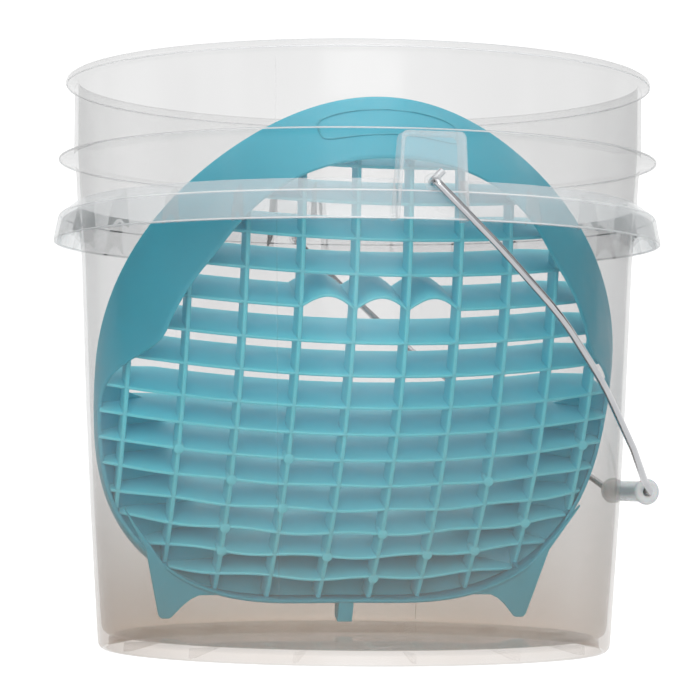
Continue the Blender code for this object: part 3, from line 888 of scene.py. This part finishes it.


# The wall's warm colour low down is painted warm light from the surroundings.
wall = natural_plastic("milky_wall", 0.12, 0.32, (0.17, 0.17, 0.17), (0.55, 0.34, 0.18))
collar = natural_plastic("milky_collar", 0.20, 0.40, (0.68, 0.71, 0.72), (0.68, 0.71, 0.72))
ears = natural_plastic("milky_ears", 0.12, 0.42, (0.95, 0.97, 0.98), (0.95, 0.97, 0.98))
webs = natural_plastic("milky_webs", 0.09, 0.05, (0.75, 0.77, 0.78), (0.75, 0.77, 0.78))
# A whitish copy of the plastic for the rounded edges: a painted highlight along them.
highlight_beads = natural_plastic("painted_highlight_edges", 0.34, 0.10, (0.95, 0.96, 0.97), (0.95, 0.96, 0.97))
ribs = natural_plastic("milky_ribs", 0.01, 0.10, (0.50, 0.50, 0.50), (0.50, 0.50, 0.50))
seams = natural_plastic("milky_seams", 0.03, 0.10, (0.80, 0.82, 0.83), (0.80, 0.82, 0.83))
# One teal plastic in two copies. The band's darker teal is painted shade, and the plates' lighter teal is
# painted light reaching into the cells.
shaded_band_teal = teal_plastic("teal_band_painted_shade", (0.035, 0.41, 0.54), (0.045, 0.45, 0.58))
lit_plate_teal = teal_plastic("teal_plates_painted_light", (0.15, 0.74, 0.87), (0.18, 0.78, 0.91))

dress(bucket_shell(), wall, "bucket", "natural_plastic", "bucket_body")
dress(bucket_floor_face(), floor_gloss_painted_reflection(), "bucket", "natural_plastic", "bucket_body")
# Beads at the rim and ring edges, in the whitish painted highlight material.
rim_edges = edge_beads("bucket_rim_edges", ((150.5, 288.4), (153.8, 249.8)))
dress(rim_edges, highlight_beads, "bucket", "natural_plastic", "bucket_body")
collar_edges = edge_beads("collar_edges", ((153.1, 221.0), (155.7, 208.0)))
dress(collar_edges, highlight_beads, "bucket", "natural_plastic", "bucket_collar")
dress(bucket_floor_ribs(), ribs, "bucket", "natural_plastic", "bucket_body")
dress(bucket_parting_lines(), seams, "bucket", "natural_plastic", "bucket_body")
dress(collar_skirt(), collar, "bucket", "natural_plastic", "bucket_collar")
dress(bucket_webs(), webs, "bucket", "natural_plastic", "bucket_collar")
dress(bucket_ears(), ears, "bucket", "natural_plastic", "bucket_collar")
for piece in (insert_skin(), insert_flap_outline(), insert_legs()):
    dress(piece, shaded_band_teal, "insert", "teal_plastic", "insert_shell")
slat_nodes = [f"insert_slat_{index:02d}" for index in range(1, 16)]
bar_nodes = [f"insert_bar_{index:02d}" for index in range(1, 11)]
for piece in (insert_slats(), insert_knots()):
    dress(piece, lit_plate_teal, "insert", "teal_plastic", *slat_nodes)
dress(insert_bars(), lit_plate_teal, "insert", "teal_plastic", *bar_nodes)
dress(bail(), bright_wire(), "bail", "bright_wire", "bail_wire")
dress(grip(), white_plastic(), "grip", "white_plastic", "bail_grip")


# ------------------------------------------------------------------ floor, light, camera

# Sizes and places are in metres here and the azimuth in degrees. CAMERA_RIGHT points to the photo's right.
CAMERA_AZIMUTH = 13.1
CAMERA_RIGHT = (0.974, -0.2267, 0.0)
CAMERA_DISTANCE = 1.375
CAMERA_HEIGHT = 0.0926
SWEEP_START = 2.0
SWEEP_RADIUS = 1.2
SWEEP_STEPS = 12
FLOOR_HALF_WIDTH = 5.0
AIM = (0.0, 0.0, 0.15)


def studio_floor():
    """A pale floor that sweeps up far behind the object."""
    profile = [(-3.0, 0.0), (SWEEP_START, 0.0)]
    for step in range(1, SWEEP_STEPS + 1):
        angle = math.pi / 2.0 * step / SWEEP_STEPS
        y = SWEEP_START + SWEEP_RADIUS * math.sin(angle)
        profile.append((y, SWEEP_RADIUS - SWEEP_RADIUS * math.cos(angle)))
    profile.append((SWEEP_START + SWEEP_RADIUS, 4.0))
    turn = Matrix.Rotation(math.radians(-CAMERA_AZIMUTH), 3, "Z")
    points = []
    faces = []
    for y, z in profile:
        for x in (-FLOOR_HALF_WIDTH, FLOOR_HALF_WIDTH):
            points.append(tuple(turn @ Vector((x, y, z)) / MM))
    for i in range(len(profile) - 1):
        faces.append((2 * i, 2 * i + 1, 2 * i + 3, 2 * i + 2))
    item = mesh_object("studio_floor", points, faces, 60.0)
    material, tree, shader = new_material("pale_floor")
    colour = mixed(tree, noise(tree, 3.0), (0.14, 0.14, 0.14), (0.16, 0.16, 0.16))
    tree.links.new(colour, shader.inputs["Base Color"])
    shader.inputs["Roughness"].default_value = 0.8
    shader.inputs["Emission Color"].default_value = (1.0, 1.0, 1.0, 1.0)
    shader.inputs["Emission Strength"].default_value = 0.96
    item.data.materials.append(material)
    item.visible_diffuse = False


def area_light(name, place, aim, size, power, size_y=None):
    """A soft light at a place, turned to what it lights."""
    data = bpy.data.lights.new(name, "AREA")
    data.energy = power
    data.size = size
    if size_y:
        data.shape = "RECTANGLE"
        data.size_y = size_y
    item = bpy.data.objects.new(name, data)
    bpy.context.scene.collection.objects.link(item)
    item.location = place
    item.rotation_euler = (Vector(aim) - Vector(place)).to_track_quat("-Z", "Y").to_euler()


def light_scene():
    """Surroundings that the camera sees white, darker to both sides in reflections, and five soft lights."""
    world = bpy.data.worlds.new("studio_world")
    world.use_nodes = True
    tree = world.node_tree
    where = node(tree, "ShaderNodeTexCoord")
    side = node(tree, "ShaderNodeVectorMath", operation="DOT_PRODUCT")
    side.inputs[1].default_value = CAMERA_RIGHT
    tree.links.new(where.outputs["Generated"], side.inputs[0])
    away = node(tree, "ShaderNodeMath", operation="ABSOLUTE")
    tree.links.new(side.outputs["Value"], away.inputs[0])
    strength = ramp(tree, away.outputs[0], 1.0, 0.10, 0.50, 0.85)
    seen = node(tree, "ShaderNodeMath", operation="MAXIMUM")
    tree.links.new(strength, seen.inputs[0])
    tree.links.new(node(tree, "ShaderNodeLightPath").outputs["Is Camera Ray"], seen.inputs[1])
    tree.links.new(seen.outputs[0], tree.nodes["Background"].inputs["Strength"])
    tree.nodes["Background"].inputs["Color"].default_value = (1.0, 1.0, 1.0, 1.0)
    bpy.context.scene.world = world
    area_light("key_soft", (-0.3, -1.3, 1.7), (0.0, 0.0, 0.12), 1.3, 8.0)
    area_light("top_soft", (0.1, 0.1, 2.0), (0.0, 0.0, 0.1), 1.5, 8.0)
    area_light("front_soft", (-0.45, -2.2, 0.5), AIM, 1.2, 22.0)
    area_light("left_strip", (-1.3, -0.7, 0.6), AIM, 0.25, 1.0, 1.2)
    area_light("right_strip", (1.2, -0.9, 0.6), AIM, 0.25, 1.5, 1.2)


def place_camera():
    """The camera where the photo was taken from."""
    azimuth = math.radians(CAMERA_AZIMUTH)
    away = (math.sin(azimuth), math.cos(azimuth))
    place = Vector((-CAMERA_DISTANCE * away[0], -CAMERA_DISTANCE * away[1], CAMERA_HEIGHT))
    data = bpy.data.cameras.new("photo_camera")
    data.lens = 136.7
    data.sensor_width = 36.0
    item = bpy.data.objects.new("photo_camera", data)
    bpy.context.scene.collection.objects.link(item)
    pan = Matrix.Rotation(math.radians(0.13) - azimuth, 4, "Z")
    tilt = Matrix.Rotation(math.pi / 2.0 + math.radians(2.54), 4, "X")
    roll = Matrix.Rotation(math.radians(0.45), 4, "Z")
    item.matrix_world = Matrix.Translation(place) @ (pan @ tilt @ roll)
    bpy.context.scene.camera = item


studio_floor()
light_scene()
place_camera()
bpy.context.scene.view_settings.view_transform = "Standard"

bpy.context.view_layer.update()
